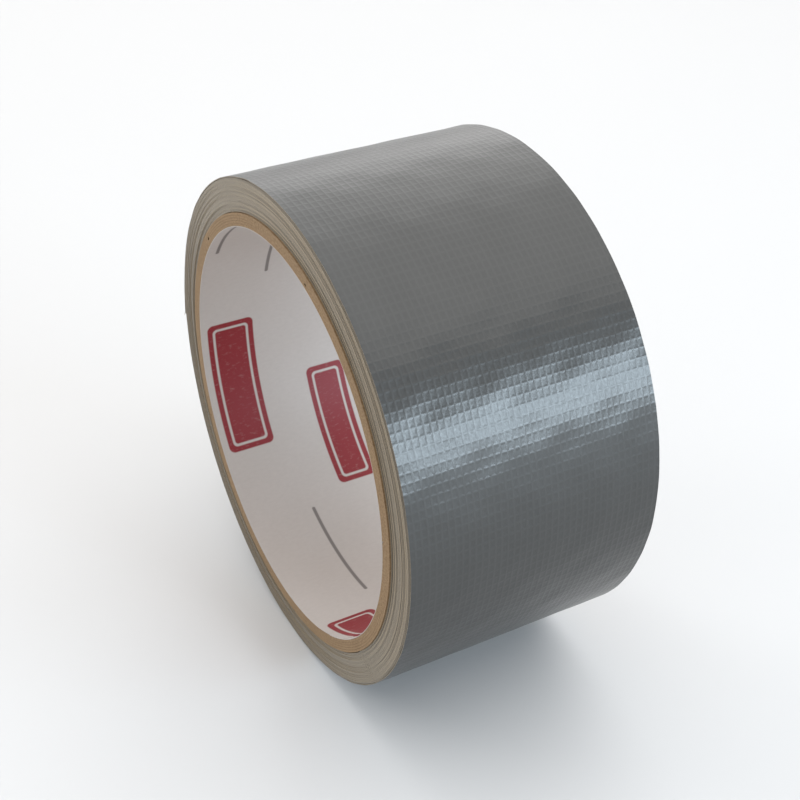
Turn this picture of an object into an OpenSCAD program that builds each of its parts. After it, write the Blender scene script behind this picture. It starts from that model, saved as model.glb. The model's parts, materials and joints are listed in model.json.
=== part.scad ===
// Duct tape roll: a spiral-wound paperboard core with a paper liner, and one long strip of
// laminated tape (backing film, cloth scrim, adhesive) wound round it.
// The roll stands on its rim. Its axis is Y, and the origin is at its centre.

/* [Core] */
// Inner diameter of the core, the bore that a spindle goes through
core_bore_d = 76.2; // [70:0.1:80]
// Length of the core, a little more than the tape's width
core_len = 48.4; // [36:0.2:62]
// Thickness of the printed paper liner
liner_t = 0.12; // [0.08:0.01:0.3]
// Thickness of one ply of core board
board_t = 0.44; // [0.3:0.01:0.8]
// Number of board plies
board_plies = 5; // [2:1:8]
// Thickness of the glue line outside the liner and outside each ply
glue_t = 0.03; // [0.02:0.01:0.06]
// Distance along the core that a ply's helical seam takes for one turn
seam_lead = 138; // [100:1:300]
// Width of the seam between the edges of one ply's strip
seam_gap = 0.5; // [0.3:0.1:1]

/* [Tape] */
// Width of the tape
tape_w = 48; // [36:1:62]
// Length of tape on the roll
tape_len = 10000; // [4000:500:20000]
// Thickness of the backing film
film_t = 0.055; // [0.04:0.005:0.08]
// Thickness of the cloth scrim
cloth_t = 0.045; // [0.03:0.005:0.08]
// Thickness of the adhesive
adhesive_t = 0.065; // [0.05:0.005:0.1]

/* [Free end] */
// Angle round the roll, up from +X, where the free end starts to peel
peel_line = 135; // [130:1:140]
// Number of hinged lengths in the free end
end_links = 6; // [2:1:8]
// Arc that one hinged length covers
link_arc = 7.2; // [6:0.1:10]

/* [Hidden] */
$fn = 180;
// Clearance that keeps the tape's bonded layers separate solids
bond_gap = 0.005;
// Clearance between one length of tape and the next, as an angle round the roll
strip_gap = 0.025;
// Angle round the core of the liner's seam, half way along, and the step from it to each ply's
liner_seam = 0;
seam_step = 67;
// Straight steps that a seam's twist is made of
seam_slices = 18;

core_r = core_bore_d / 2;
ply_pitch = board_t + glue_t;
board_r = core_r + liner_t + glue_t;
winding_r = board_r + board_plies * ply_pitch;

tape_t = film_t + cloth_t + adhesive_t;
full_r = sqrt(winding_r ^ 2 + tape_len * tape_t / PI);
half_turns = round(2 * (full_r - winding_r) / tape_t);

// Each layer: how far its inside stands from the inside of its turn, and its solid thickness
adhesive = [0, adhesive_t - bond_gap];
cloth = [adhesive_t, cloth_t - bond_gap];
film = [adhesive_t + cloth_t, film_t - bond_gap];

// The core and the windings are drawn about Z, and the roll lies about Y.
module about_y() {
    rotate([90, 0, 0]) children();
}

// The slot where the two edges of a helically wound strip meet
module helical_seam(inner_r, outer_r, angle) {
    seam_h = core_len + 2;
    rotate(angle + 180 * seam_h / seam_lead)
        translate([0, 0, -seam_h / 2])
            linear_extrude(height = seam_h, twist = 360 * seam_h / seam_lead, slices = seam_slices, segments = 4)
                translate([inner_r - 0.5, -seam_gap / 2])
                    square([outer_r - inner_r + 1, seam_gap]);
}

// One ply of the core: a strip wound into a tube, with its helical seam left open
module wound_ply(inner_r, thickness, seam_angle) {
    about_y()
        difference() {
            cylinder(h = core_len, r = inner_r + thickness, center = true);
            cylinder(h = core_len + 1, r = inner_r, center = true);
            helical_seam(inner_r, inner_r + thickness, seam_angle);
        }
}

module core_liner() {
    color("white") wound_ply(core_r, liner_t, liner_seam);
}

module core_ply(i) {
    color("burlywood") wound_ply(board_r + (i - 1) * ply_pitch, board_t, liner_seam + i * seam_step);
}

// The winding is a spiral of half turns about two centres, each half a tape thickness wider.
function turn_r(k) = winding_r + bond_gap + tape_t / 4 + k * tape_t / 2;
function turn_centre(k) = (k % 2 == 0 ? 1 : -1) * tape_t / 4;

// An arc of one layer in half turn k, from angle a over sweep degrees
module layer_arc(k, layer, a, sweep) {
    translate(turn_centre(k) * [cos(peel_line), sin(peel_line), 0])
        rotate(a)
            rotate_extrude(angle = sweep)
                translate([turn_r(k) + layer[0], -tape_w / 2])
                    square([layer[1], tape_w]);
}

// One layer of the tape over half turns first to last, ending just clear of the tape after it
module layer_turns(layer, first, last) {
    about_y()
        for (k = [first:last])
            layer_arc(k, layer, peel_line - (half_turns - k) * 180, k == last ? 180 - strip_gap : 180);
}

// All the turns but the last
module wound_layer(layer) {
    layer_turns(layer, 0, half_turns - 3);
}

// The last turn, which ends at the peel line
module last_turn_layer(layer) {
    layer_turns(layer, half_turns - 2, half_turns - 1);
}

// One layer of hinged length i of the free end
module end_layer(layer, i) {
    about_y()
        layer_arc(half_turns, layer, peel_line + (i - 1) * link_arc, link_arc - strip_gap);
}

module wound_adhesive() {
    color("wheat") wound_layer(adhesive);
}

module wound_cloth() {
    color("ivory") wound_layer(cloth);
}

module wound_film() {
    color("slategray") wound_layer(film);
}

module last_turn_adhesive() {
    color("wheat") last_turn_layer(adhesive);
}

module last_turn_cloth() {
    color("ivory") last_turn_layer(cloth);
}

module last_turn_film() {
    color("slategray") last_turn_layer(film);
}

module end_adhesive(i) {
    color("wheat") end_layer(adhesive, i);
}

module end_cloth(i) {
    color("ivory") end_layer(cloth, i);
}

module end_film(i) {
    color("slategray") end_layer(film, i);
}

core_liner();
for (i = [1:board_plies])
    core_ply(i);
wound_adhesive();
wound_cloth();
wound_film();
last_turn_adhesive();
last_turn_cloth();
last_turn_film();
for (i = [1:end_links]) {
    end_adhesive(i);
    end_cloth(i);
    end_film(i);
}
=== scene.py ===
import json
import math

import bpy
import numpy as np
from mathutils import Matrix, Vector


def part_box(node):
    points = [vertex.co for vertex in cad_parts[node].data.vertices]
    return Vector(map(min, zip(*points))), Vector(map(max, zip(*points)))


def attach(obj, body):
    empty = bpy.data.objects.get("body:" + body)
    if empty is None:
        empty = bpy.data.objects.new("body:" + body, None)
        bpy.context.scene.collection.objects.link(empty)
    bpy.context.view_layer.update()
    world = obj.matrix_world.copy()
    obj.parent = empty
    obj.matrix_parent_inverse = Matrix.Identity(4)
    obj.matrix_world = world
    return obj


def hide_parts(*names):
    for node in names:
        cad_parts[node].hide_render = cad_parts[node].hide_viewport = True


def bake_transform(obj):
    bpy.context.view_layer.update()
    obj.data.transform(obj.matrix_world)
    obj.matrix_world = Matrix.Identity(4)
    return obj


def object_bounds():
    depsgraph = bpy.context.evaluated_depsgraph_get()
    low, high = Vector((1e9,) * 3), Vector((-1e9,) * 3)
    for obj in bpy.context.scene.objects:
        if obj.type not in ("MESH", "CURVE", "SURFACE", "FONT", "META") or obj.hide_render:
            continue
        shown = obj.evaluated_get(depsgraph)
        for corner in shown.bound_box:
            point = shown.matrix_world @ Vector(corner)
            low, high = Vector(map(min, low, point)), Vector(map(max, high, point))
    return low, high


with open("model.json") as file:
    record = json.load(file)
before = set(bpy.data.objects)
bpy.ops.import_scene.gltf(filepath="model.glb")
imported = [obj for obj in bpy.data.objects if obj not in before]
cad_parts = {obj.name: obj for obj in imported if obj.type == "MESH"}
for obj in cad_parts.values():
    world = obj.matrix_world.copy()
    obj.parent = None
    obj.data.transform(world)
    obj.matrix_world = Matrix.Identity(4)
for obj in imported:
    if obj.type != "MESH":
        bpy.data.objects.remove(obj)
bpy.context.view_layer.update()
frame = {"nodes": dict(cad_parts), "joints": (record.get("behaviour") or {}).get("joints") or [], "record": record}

MM = 0.001

# ---- Sizes: the tape's own make-up, and the rest from the frame ----
TAPE_T = 0.165 * MM
LAYER_GAP = 0.005 * MM
GLUE_T = 0.03 * MM
LAYERS = {  # how far each layer's inside and outside stand out from the inside of its turn
    "adhesive": (0.0, 0.060 * MM),
    "cloth": (0.065 * MM, 0.105 * MM),
    "film": (0.110 * MM, 0.160 * MM),
}

hinges = [Vector(j["pos_m"]) for j in frame["joints"]]
links = [j["child"] for j in frame["joints"]]
peel_line = math.atan2(hinges[0].z, hinges[0].x)
bore_r = frame["record"]["mounts"][0]["dims"]["r_mm"] * MM
core_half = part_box("core_liner")[1].y
tape_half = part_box("wound_film")[1].y
plies = sorted(n for n in frame["nodes"] if n.startswith("core_ply_"))
winding_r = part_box(plies[-1])[1].x + GLUE_T
film_r = math.hypot(hinges[0].x, hinges[0].z)
half_turns = round(2 * (film_r - winding_r - TAPE_T) / TAPE_T)


def turn_centre(half):
    """How far the centre of a half turn lies from the roll's axis, towards the peel line."""
    return np.where(half % 2 == 0, 1, -1) * TAPE_T / 4


def wound(angle, offset):
    """x and z on the spiral, angle radians past the peel line and offset out from the inside of its turn.
    It is made of half turns about two centres, each half a tape thickness wider than the last."""
    half = half_turns + np.floor(angle / math.pi)
    r = winding_r + LAYER_GAP + TAPE_T / 4 + half * TAPE_T / 2 + offset
    centre = turn_centre(half)
    theta = peel_line + angle
    x = centre * math.cos(peel_line) + r * np.cos(theta)
    z = centre * math.sin(peel_line) + r * np.sin(theta)
    return x, z


# The free end goes on from the peel line as the first part of the next half turn.
end_offset = float(turn_centre(half_turns))
end_centre = Vector((end_offset * math.cos(peel_line), 0, end_offset * math.sin(peel_line)))
link_arc = (hinges[0] - end_centre).angle(hinges[1] - end_centre)
end_angle = len(links) * link_arc
last_start = -2 * math.pi  # where the last turn begins, as an angle past the peel line

# ---- Meshes ----
TAPE_UV = "tape_mm"  # millimetres along the tape and across it


def make_mesh(name, points, faces, material, uv=None, uv_name=TAPE_UV, sharp=40):
    me = bpy.data.meshes.new(name)
    me.from_pydata(points.tolist(), [], faces)
    me.shade_smooth()
    me.set_sharp_from_angle(angle=math.radians(sharp))
    if uv is not None:
        corner = np.zeros(len(me.loops), np.int32)
        me.loops.foreach_get("vertex_index", corner)
        layer = me.uv_layers.new(name=uv_name)
        layer.data.foreach_set("uv", uv[corner].astype(np.float32).ravel())
    me.materials.append(material)
    me.update()
    piece = bpy.data.objects.new(name, me)
    bpy.context.scene.collection.objects.link(piece)
    return piece


def tube_faces(rows, ring):
    """Quads along a tube of rows rings with ring points each, and a face to close each end."""
    i, j = np.meshgrid(np.arange(rows - 1), np.arange(ring), indexing="ij")
    k = (j + 1) % ring
    quads = np.stack(
        [i * ring + j, i * ring + k, (i + 1) * ring + k, (i + 1) * ring + j], -1
    )
    ends = [list(range(ring))[::-1], list(range((rows - 1) * ring, rows * ring))]
    return quads.reshape(-1, 4).tolist() + ends


rng = np.random.default_rng(7)

FINE_STEP = 0.3  # mm between the points of a face with relief
COARSE_STEP = 1.2  # mm, across a face that only has wrinkles
HIDDEN_STEP = math.radians(1.5)  # between the rings of a layer with no relief

# The film sinks a little between the scrim's threads.
WARP_PITCH = 1.2  # mm across the tape from thread to thread
WEFT_PITCH = 1.6  # mm along the tape
THREAD_DIP = 0.01 * MM


def film_dip(along, across):
    """How far the film's face lies inside its true radius, at millimetres along and across the tape."""
    warp = 0.5 + 0.5 * np.cos(2 * math.pi * across / WARP_PITCH)
    weft = 0.5 + 0.5 * np.cos(2 * math.pi * along / WEFT_PITCH)
    return THREAD_DIP * (1 - np.maximum(warp, 0.8 * weft))


# The last turn was not laid down quite flat. Its wrinkles are the same after a whole turn, so the free end
# lies on them and not in them, and they start from nothing at the end of the wound turns under it.
WRINKLE = 0.16 * MM
WRINKLE_RISE = 0.3  # radians that they take to come up from nothing
WRINKLE_SLANT = 0.8  # most radians that one can shift in each millimetre across the tape
WRINKLE_COUNTS = (9, 14, 21, 29, 38, 47)  # waves round the roll, for each set of wrinkles
WRINKLES = [
    (count, rng.uniform(-WRINKLE_SLANT, WRINKLE_SLANT), rng.uniform(0, 2 * math.pi))
    for count in WRINKLE_COUNTS
]


def wrinkle(angle, y):
    """How far the last turn or the free end stands off the turn under it."""
    height = sum(
        np.sin(count * angle + slant * y / MM + phase) for count, slant, phase in WRINKLES
    )
    start = np.clip((angle - last_start) / WRINKLE_RISE, 0, 1)
    return WRINKLE * start * (1 + height / len(WRINKLES)) / 2


# The tape was not wound quite straight, so the roll's sides have fine rings and slow waves.
TURNS = half_turns / 2
EDGE_STEP = 0.04 * MM  # how far one turn's edge may stand out past its neighbour's
DRIFT = 0.07 * MM  # how far the tape wanders sideways over a few turns
turn_edge = rng.uniform(-1, 1, int(TURNS) + 4)
LAYER_EDGE = {"adhesive": 0.0, "cloth": -0.015 * MM, "film": -0.01 * MM}


def edge_out(angle, layer, side):
    """How far the tape's edge stands out of the roll's side at that angle, never more than 0.
    It goes to a new height each turn, drifts in two waves over several turns, and sways once a turn."""
    turn = angle / (2 * math.pi) + TURNS
    step = np.interp(turn + 1, np.arange(len(turn_edge)), np.roll(turn_edge, 5 * side))
    drift = np.sin(turn * 1.3 + side) + np.sin(turn * 0.57 + 2 * side + 1)
    sway = 0.5 * np.sin(angle + 2.3 * turn / TURNS + side)
    out = EDGE_STEP * (step - 1) + DRIFT * (side * drift / 2 + sway - 1.5)
    return out + LAYER_EDGE[layer]


# The last few millimetres of the tape don't lie quite down, and one corner least.
LIFTED = 12.0  # mm
CORNER_LIFT = 1.1 * MM
LEAST_LIFT = 0.3  # the other corner's share of that


def end_lift(angle, y):
    """How far the tape stands off the roll near its cut end."""
    to_end = (end_angle - angle) * film_r / MM
    near = np.clip(1 - to_end / LIFTED, 0, 1)
    corner = (1 + LEAST_LIFT) / 2 + (1 - LEAST_LIFT) / 2 * y / tape_half
    return CORNER_LIFT * corner * near * near


def strip(name, layer, start, stop, step, material, fine=None):
    """One layer of the tape from angle start to stop, as a closed ribbon of rings about step radians apart.
    fine is the face, film's outside or adhesive's inside, that gets a fine grid with its relief."""
    inside, outside = LAYERS[layer]
    rows = max(2, round((stop - start) / step) + 1)
    angle = np.linspace(start, stop, rows)[:, None]
    width = 2 * tape_half / MM
    coarse = COARSE_STEP if stop > last_start else width
    out_cols = 1 + round(width / (FINE_STEP if fine == "outside" else coarse))
    in_cols = 1 + round(width / (FINE_STEP if fine == "inside" else coarse))
    across = np.r_[np.linspace(-1, 1, out_cols), np.linspace(1, -1, in_cols)][None, :]
    offset = np.r_[np.full(out_cols, outside), np.full(in_cols, inside)][None, :]
    low = tape_half + edge_out(angle, layer, -1)
    high = tape_half + edge_out(angle, layer, 1)
    y = np.where(across < 0, across * low, across * high)
    along_mm = angle * film_r / MM + 0 * y
    relief = film_dip(along_mm, y / MM)
    if fine == "outside":
        offset = offset - relief * (offset == outside)
    if fine == "inside":
        offset = offset + relief * (offset == inside)
    x, z = wound(angle + 0 * y, offset + wrinkle(angle, y) + end_lift(angle, y))
    points = np.stack([x, y, z], -1).reshape(-1, 3)
    uv = np.stack([along_mm, y / MM], -1).reshape(-1, 2)
    return make_mesh(name, points, tube_faces(rows, across.shape[1]), material, uv)


# ---- Materials ----
class Shader:
    """A material's nodes, with short names for the few kinds that are used here."""

    def __init__(self, name, values):
        self.material = bpy.data.materials.new(name)
        self.material.use_nodes = True
        self.tree = self.material.node_tree
        self.surface = self.tree.nodes["Principled BSDF"]
        for socket, value in values.items():
            self.surface.inputs[socket].default_value = value

    def node(self, kind, inputs=(), **settings):
        made = self.tree.nodes.new("ShaderNode" + kind)
        for key, value in settings.items():
            setattr(made, key, value)
        for key, value in dict(inputs).items():
            if isinstance(value, bpy.types.NodeSocket):
                self.tree.links.new(value, made.inputs[key])
            else:
                made.inputs[key].default_value = value
        return made

    def math(self, operation, a, b=0.0, c=0.0):
        return self.node("Math", {0: a, 1: b, 2: c}, operation=operation).outputs[0]

    def place(self, uv_name=None):
        if uv_name:
            return self.node("UVMap", uv_map=uv_name).outputs["UV"]
        return self.node("TexCoord").outputs["Object"]

    def stretched(self, place, scale):
        return self.node("Mapping", {"Vector": place, "Scale": scale}).outputs[0]

    def noise(self, place, scale, detail=3.0, roughness=0.55):
        inputs = {
            "Vector": place,
            "Scale": scale,
            "Detail": detail,
            "Roughness": roughness,
        }
        return self.node("TexNoise", inputs).outputs["Fac"]

    def fade(self, value, low, high, to_low=0.0, to_high=1.0):
        inputs = {
            "Value": value,
            "From Min": low,
            "From Max": high,
            "To Min": to_low,
            "To Max": to_high,
        }
        return self.node("MapRange", inputs).outputs["Result"]

    def mix(self, share, a, b):
        made = self.node("Mix", {0: share}, data_type="RGBA")
        for socket, colour in ((made.inputs[6], a), (made.inputs[7], b)):
            if isinstance(colour, bpy.types.NodeSocket):
                self.tree.links.new(colour, socket)
            else:
                socket.default_value = (*colour, 1.0)
        return made.outputs[2]

    def to(self, socket, value):
        self.tree.links.new(value, self.surface.inputs[socket])

    def bump(self, height, distance, strength=1.0):
        inputs = {"Height": height, "Distance": distance, "Strength": strength}
        self.to("Normal", self.node("Bump", inputs).outputs[0])


def ridges(shader, coordinate, pitch, power):
    """Narrow ridges across a coordinate, one every pitch."""
    wave = shader.math("COSINE", shader.math("MULTIPLY", coordinate, 2 * math.pi / pitch))
    return shader.math("POWER", shader.fade(wave, -1, 1), power)


def tape_film():
    s = Shader("tape_film", {"Metallic": 0.6})
    place = s.place(TAPE_UV)
    xyz = s.node("SeparateXYZ", {0: place})
    warp = ridges(s, xyz.outputs[1], WARP_PITCH, 3)
    weft = ridges(s, xyz.outputs[0], WEFT_PITCH, 4)
    threads = s.math("MAXIMUM", warp, s.math("MULTIPLY", weft, 0.8))
    grain = s.noise(place, 2.2, 4)
    clouds = s.noise(s.stretched(place, (0.05, 0.12, 1)), 1.0, 3)
    tone = s.mix(clouds, (0.064, 0.064, 0.062), (0.077, 0.077, 0.075))
    # The film's colour is painted lighter on the crests of the weave: a painted highlight on the raised threads,
    # with painted shade in the dips between them.
    s.to("Base Color", s.mix(s.math("MULTIPLY", threads, 0.25), tone, (0.095, 0.095, 0.093)))
    s.to("Roughness", s.fade(grain, 0.3, 0.7, 0.28, 0.36))
    relief = s.math("ADD", threads, s.math("MULTIPLY", grain, 0.6))
    s.bump(relief, 0.02 * MM)
    return s.material


# Along the tape, this takes two turns for one change, so the roll's sides have rings a few turns wide.
BAND_SCALE = 0.0016


def tape_cloth():
    s = Shader("tape_cloth", {"Roughness": 0.9, "Sheen Weight": 0.3})
    place = s.place(TAPE_UV)
    fibre = s.noise(s.stretched(place, (0.4, 3, 1)), 1.0, 4)
    streaks = s.noise(s.stretched(place, (BAND_SCALE, 0, 0)), 1.0, 3, 0.6)
    yarn = s.mix(fibre, (0.38, 0.32, 0.23), (0.52, 0.46, 0.35))
    s.to("Base Color", s.mix(s.fade(streaks, 0.4, 0.6, 0.0, 0.5), yarn, (0.3, 0.25, 0.18)))
    s.bump(fibre, 0.02 * MM)
    return s.material


def tape_adhesive():
    s = Shader("tape_adhesive", {"Roughness": 0.45, "IOR": 1.5})
    place = s.place(TAPE_UV)
    xyz = s.node("SeparateXYZ", {0: place})
    warp = ridges(s, xyz.outputs[1], WARP_PITCH, 2)
    weft = ridges(s, xyz.outputs[0], WEFT_PITCH, 2)
    threads = s.math("MAXIMUM", warp, weft)
    clouds = s.noise(place, 0.35, 4)
    streaks = s.noise(s.stretched(place, (BAND_SCALE, 0, 0)), 1.0, 3, 0.6)
    tone = s.mix(clouds, (0.27, 0.19, 0.105), (0.35, 0.255, 0.155))
    tone = s.mix(s.fade(streaks, 0.35, 0.65), tone, (0.20, 0.158, 0.112))
    s.to("Base Color", s.mix(s.math("MULTIPLY", threads, 0.4), tone, (0.44, 0.38, 0.28)))
    s.bump(s.math("ADD", threads, clouds), 0.03 * MM)
    return s.material


def ply_board():
    s = Shader("ply_board", {"Roughness": 0.85})
    place = s.place()
    fibre = s.noise(s.stretched(place, (1, 0.25, 1)), 2500, 5, 0.7)
    clouds = s.noise(place, 130, 3)
    tone = s.mix(clouds, (0.17, 0.10, 0.045), (0.25, 0.155, 0.08))
    s.to("Base Color", s.mix(s.fade(fibre, 0.35, 0.75), tone, (0.36, 0.25, 0.14)))
    s.bump(fibre, 0.08 * MM)
    return s.material


LINER_UV = "liner_mm"  # millimetres round the bore from +X, and along it
ROUND = 2 * math.pi * bore_r / MM
# Printed marks: the first one's start round the bore, the step to the next and how many there are, then
# each one's length, its middle along the core and its width, all in mm
BLOCKS = [
    (42.2, 75.0, 3, 27.6, -17.9, 9.8),
    (57.0, 75.0, 3, 25.6, 1.5, 8.4),
    (70.0, 75.0, 3, 25.6, 19.6, 8.4),
]
BARS = [
    (82.1, 78.5, 3, 24.3, -10.4, 0.7),
    (96.0, 78.5, 3, 24.3, 10.0, 0.7),
    (81.0, ROUND, 1, 15.5, -22.0, 0.7),
]


def printed(s, u, v, mark, inset=0.0, radius=0.3, soft=0.12):
    """1 inside any of a row of rounded boxes, each drawn in by inset, and 0 outside."""
    first, step, count, length, middle, width = mark
    lead = 5.0  # mm of clear paper before each box
    whole_turns = 10 * ROUND  # keeps the sum above 0, for the remainder
    turned = s.math("MODULO", s.math("ADD", u, whole_turns - first + lead), ROUND)
    within = s.math("MODULO", s.math("MINIMUM", turned, count * step - 1), step)
    off_u = s.math("ABSOLUTE", s.math("SUBTRACT", within, lead + length / 2))
    off_v = s.math("ABSOLUTE", s.math("SUBTRACT", v, middle))
    a = s.math("MAXIMUM", s.math("SUBTRACT", off_u, length / 2 - inset - radius), 0.0)
    b = s.math("MAXIMUM", s.math("SUBTRACT", off_v, width / 2 - inset - radius), 0.0)
    far = s.math("SQRT", s.math("ADD", s.math("MULTIPLY", a, a), s.math("MULTIPLY", b, b)))
    return s.fade(far, radius + soft, radius - soft)


def printed_paper():
    s = Shader("printed_paper", {"Roughness": 0.5, "IOR": 1.45})
    place = s.place(LINER_UV)
    xyz = s.node("SeparateXYZ", {0: place})
    u, v = xyz.outputs[0], xyz.outputs[1]
    fibre = s.noise(s.stretched(place, (1.2, 0.5, 1)), 1.5, 5, 0.65)
    clouds = s.noise(place, 0.06, 2)
    paper = s.mix(fibre, (0.46, 0.42, 0.395), (0.555, 0.515, 0.485))
    paper = s.mix(s.math("MULTIPLY", clouds, 0.35), paper, (0.41, 0.36, 0.32))
    red, dark = 0.0, 0.0
    for mark in BLOCKS:
        border = s.math(
            "SUBTRACT",
            printed(s, u, v, mark, radius=1.2),
            printed(s, u, v, mark, inset=1.1, radius=0.9),
        )
        middle = printed(s, u, v, mark, inset=1.6, radius=0.6)
        red = s.math("MAXIMUM", red, s.math("ADD", border, middle))
    for mark in BARS:
        dark = s.math("MAXIMUM", dark, printed(s, u, v, mark))
    worn = s.fade(fibre, 0.2, 0.45, 0.75, 1.0)
    ink = s.math("MULTIPLY", red, worn)
    s.to(
        "Base Color",
        s.mix(
            s.math("MULTIPLY", dark, 0.8),
            s.mix(ink, paper, (0.225, 0.013, 0.019)),
            (0.10, 0.085, 0.08),
        ),
    )
    s.bump(fibre, 0.02 * MM)
    return s.material


def pale_floor():
    s = Shader("pale_floor", {"Roughness": 0.6})
    clouds = s.noise(s.place(), 3.0, 3)
    s.to("Base Color", s.mix(clouds, (0.62, 0.62, 0.62), (0.65, 0.65, 0.65)))
    return s.material


MATERIALS = {"film": tape_film(), "cloth": tape_cloth(), "adhesive": tape_adhesive()}

# ---- The wound tape ----
fine_angle = FINE_STEP * MM / film_r
wound_start = -half_turns * math.pi

for layer, material in MATERIALS.items():
    turns = strip(
        f"{layer}_turns", layer, wound_start, last_start, HIDDEN_STEP, material
    )
    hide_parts(f"wound_{layer}")
    fine = "outside" if layer == "film" else None
    step = fine_angle if fine else HIDDEN_STEP
    top = strip(f"{layer}_last_turn", layer, last_start, 0.0, step, material, fine)
    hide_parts(f"last_turn_{layer}")
    for piece in (turns, top):
        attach(piece, "roll")

# ---- The free end: each piece reaches from the middle of one link to the middle of the next ----
# With this reach either way from its hinge, a curl made of equal bends would run through the joins
# between the pieces with no kink. Here the pieces are not attached to the links, so they stay as built.
FINE_FACE = {"film": "outside", "cloth": None, "adhesive": "inside"}


for layer, material in MATERIALS.items():
    for i, link in enumerate(links):
        hinge = i * link_arc
        before = hinge if i == 0 else hinge - link_arc / 2
        after = end_angle if link == links[-1] else hinge + link_arc / 2
        piece = strip(
            f"end_{layer}_piece_{i + 1}",
            layer,
            before,
            after,
            fine_angle,
            material,
            FINE_FACE[layer],
        )
        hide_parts(f"end_{layer}_{i + 1}")
        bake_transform(piece)

# ---- The scrim's threads stand out a little, unevenly, where the tape is cut ----
TIP_R = 0.055 * MM
INNER_R = 0.018 * MM  # inside the tape, where a thread is pressed flat
TIP_RINGS = 7
TIP_SIDES = 6


def thread_tips(material):
    middle = sum(LAYERS["cloth"]) / 2
    inside_tape = 0.3 * MM
    points, faces, uv = [], [], []
    count = int(tape_half / MM / WARP_PITCH)
    for y in np.arange(-count, count + 1) * WARP_PITCH * MM:
        length = rng.uniform(0.2, 0.9) * MM
        aside = rng.uniform(-0.25, 0.25) * MM
        droop = rng.uniform(0.0, 0.25) * MM
        first = len(points)
        for t in np.linspace(0, 1, TIP_RINGS):
            angle = end_angle + (t * (length + inside_tape) - inside_tape) / film_r
            height = middle + wrinkle(angle, y) + end_lift(min(angle, end_angle), y)
            r = TIP_R if angle > end_angle else INNER_R
            for turn in np.arange(TIP_SIDES) * 2 * math.pi / TIP_SIDES:
                x, z = wound(angle, height - droop * t * t + r * math.cos(turn))
                across = y + aside * t * t + r * math.sin(turn)
                points.append((float(x), across, float(z)))
                uv.append((angle * film_r / MM, across / MM))
        tube = tube_faces(TIP_RINGS, TIP_SIDES)
        faces += [[first + corner for corner in face] for face in tube]
    return make_mesh("end_thread_tips", np.array(points), faces, material, np.array(uv))


tips = thread_tips(MATERIALS["cloth"])
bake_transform(tips)

# ---- The core: the plies are the CAD's own, and the liner is a lapped strip of printed paper ----
board = ply_board()
for ply in plies:
    mesh = frame["nodes"][ply].data
    mesh.materials.clear()
    mesh.materials.append(board)

PAPER_T = 0.1 * MM
LAP = math.radians(9)  # how far the strip goes on over its own start
SEAM_LEAD = 138 * MM  # along the core for one turn of the seam


def core_liner():
    rows, cols = 361, 61
    turn = np.linspace(0, 2 * math.pi + LAP, rows)[:, None]
    y_in = np.linspace(-core_half, core_half, cols)
    y = np.r_[y_in, y_in[::-1]][None, :]
    is_inner = np.r_[np.ones(cols), np.zeros(cols)][None, :]
    lift = np.clip((turn - (2 * math.pi - LAP)) / LAP, 0, 1)
    lift = lift * lift * (3 - 2 * lift)
    r = bore_r + PAPER_T * (1 - is_inner) - PAPER_T * lift
    theta = turn + 2 * math.pi * y / SEAM_LEAD
    points = np.stack([r * np.cos(theta), y + 0 * theta, r * np.sin(theta)], -1)
    uv = np.stack([theta * bore_r / MM, (y + 0 * theta) / MM], -1)
    faces = tube_faces(rows, 2 * cols)
    return make_mesh(
        "core_liner_paper",
        points.reshape(-1, 3),
        faces,
        printed_paper(),
        uv.reshape(-1, 2),
        LINER_UV,
    )


liner = core_liner()
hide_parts("core_liner")
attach(liner, "roll")

# ---- Floor, light and camera ----
scene = bpy.context.scene
FLOOR = 40.0  # metres from its middle to its edges, so the horizon is straight
floor_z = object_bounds()[0].z  # the lowest of the wrinkles stands on it
corners = [(-FLOOR, -FLOOR), (FLOOR, -FLOOR), (FLOOR, FLOOR), (-FLOOR, FLOOR)]
floor_mesh = bpy.data.meshes.new("floor")
floor_mesh.from_pydata([(x, y, floor_z) for x, y in corners], [], [(0, 1, 2, 3)])
floor_mesh.materials.append(pale_floor())
floor = bpy.data.objects.new("floor", floor_mesh)
scene.collection.objects.link(floor)

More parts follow.
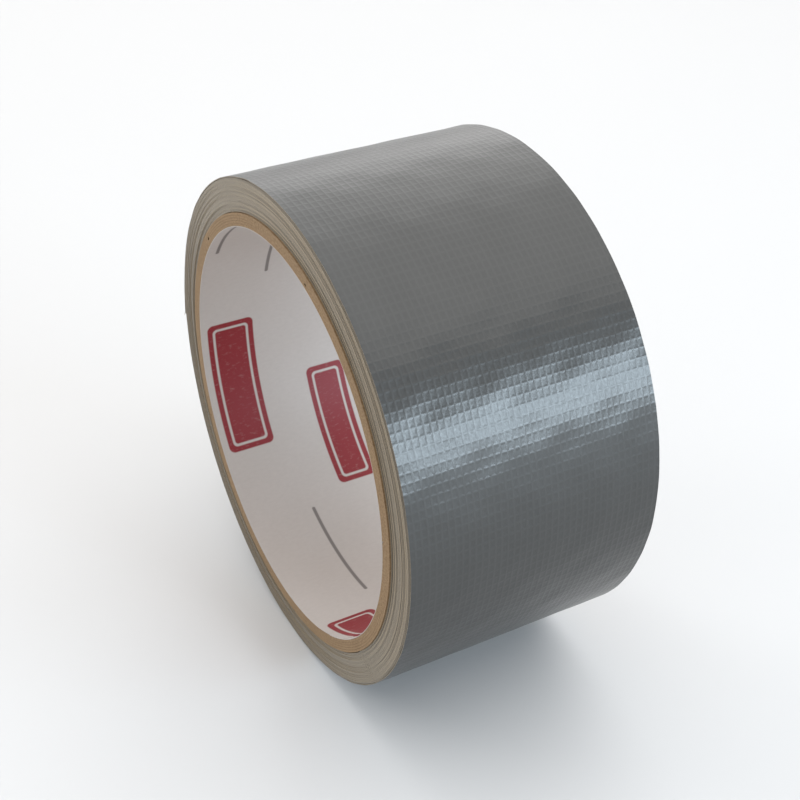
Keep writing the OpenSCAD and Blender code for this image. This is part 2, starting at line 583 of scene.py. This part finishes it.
# The sky is about as bright as the floor at the horizon, and dimmer overhead.
HORIZON = 0.87
OVERHEAD = 0.46
scene.view_settings.view_transform = "Standard"
world = bpy.data.worlds.new("studio")
world.use_nodes = True
sky = world.node_tree
background = sky.nodes["Background"]
background.inputs["Color"].default_value = (1, 0.99, 0.98, 1)
upward = sky.nodes.new("ShaderNodeSeparateXYZ")
sky.links.new(sky.nodes.new("ShaderNodeTexCoord").outputs["Generated"], upward.inputs[0])
dimming = sky.nodes.new("ShaderNodeMapRange")
dimming.interpolation_type = "SMOOTHSTEP"
sky.links.new(upward.outputs[2], dimming.inputs["Value"])
dimming.inputs["From Max"].default_value = 0.6
dimming.inputs["To Min"].default_value = HORIZON
dimming.inputs["To Max"].default_value = OVERHEAD
sky.links.new(dimming.outputs[0], background.inputs["Strength"])
scene.world = world


def direction(azimuth, elevation):
    a, e = math.radians(azimuth), math.radians(elevation)
    return Vector((math.sin(a) * math.cos(e), -math.cos(a) * math.cos(e), math.sin(e)))


def lamp(name, kind, azimuth, elevation, strength, distance=1.0, colour=(1, 1, 1)):
    data = bpy.data.lights.new(name, kind)
    data.energy, data.color = strength, colour
    made = bpy.data.objects.new(name, data)
    towards = direction(azimuth, elevation)
    made.location = towards * distance
    made.rotation_mode = "QUATERNION"
    made.rotation_quaternion = towards.to_track_quat("Z", "Y")
    made.visible_camera = False
    scene.collection.objects.link(made)
    return data


def softbox(name, azimuth, elevation, distance, width, height, watts, colour=(1, 1, 1)):
    data = lamp(name, "AREA", azimuth, elevation, watts, distance, colour)
    data.shape = "RECTANGLE"
    data.size, data.size_y = width, height


def soft_sun(name, azimuth, elevation, spread, strength):
    lamp(name, "SUN", azimuth, elevation, strength).angle = math.radians(spread)


soft_sun("key", -72, 35, 32, 0.55)
soft_sun("back", -122, 27, 44, 0.7)
soft_sun("ceiling", 180, 71, 76, 1.75)
softbox("window", 119, 15, 0.8, 0.55, 0.17, 4.4, (0.70, 0.86, 1.0))
softbox("side", -42, 25, 1.0, 0.5, 0.2, 1.6)
softbox("front", 2, 43, 1.0, 1.5, 0.5, 1.5)

CAMERA_AZIMUTH = 61.2
CAMERA_ELEVATION = 33.3
CAMERA_DISTANCE = 0.264
camera_data = bpy.data.cameras.new("camera")
camera_data.lens = 63.8
camera_data.sensor_width = 36
camera_data.clip_start = 0.01
camera = bpy.data.objects.new("camera", camera_data)
back = direction(CAMERA_AZIMUTH, CAMERA_ELEVATION)
camera.location = back * CAMERA_DISTANCE
camera.rotation_mode = "QUATERNION"
camera.rotation_quaternion = (-back).to_track_quat("-Z", "Y")
scene.collection.objects.link(camera)
scene.camera = camera
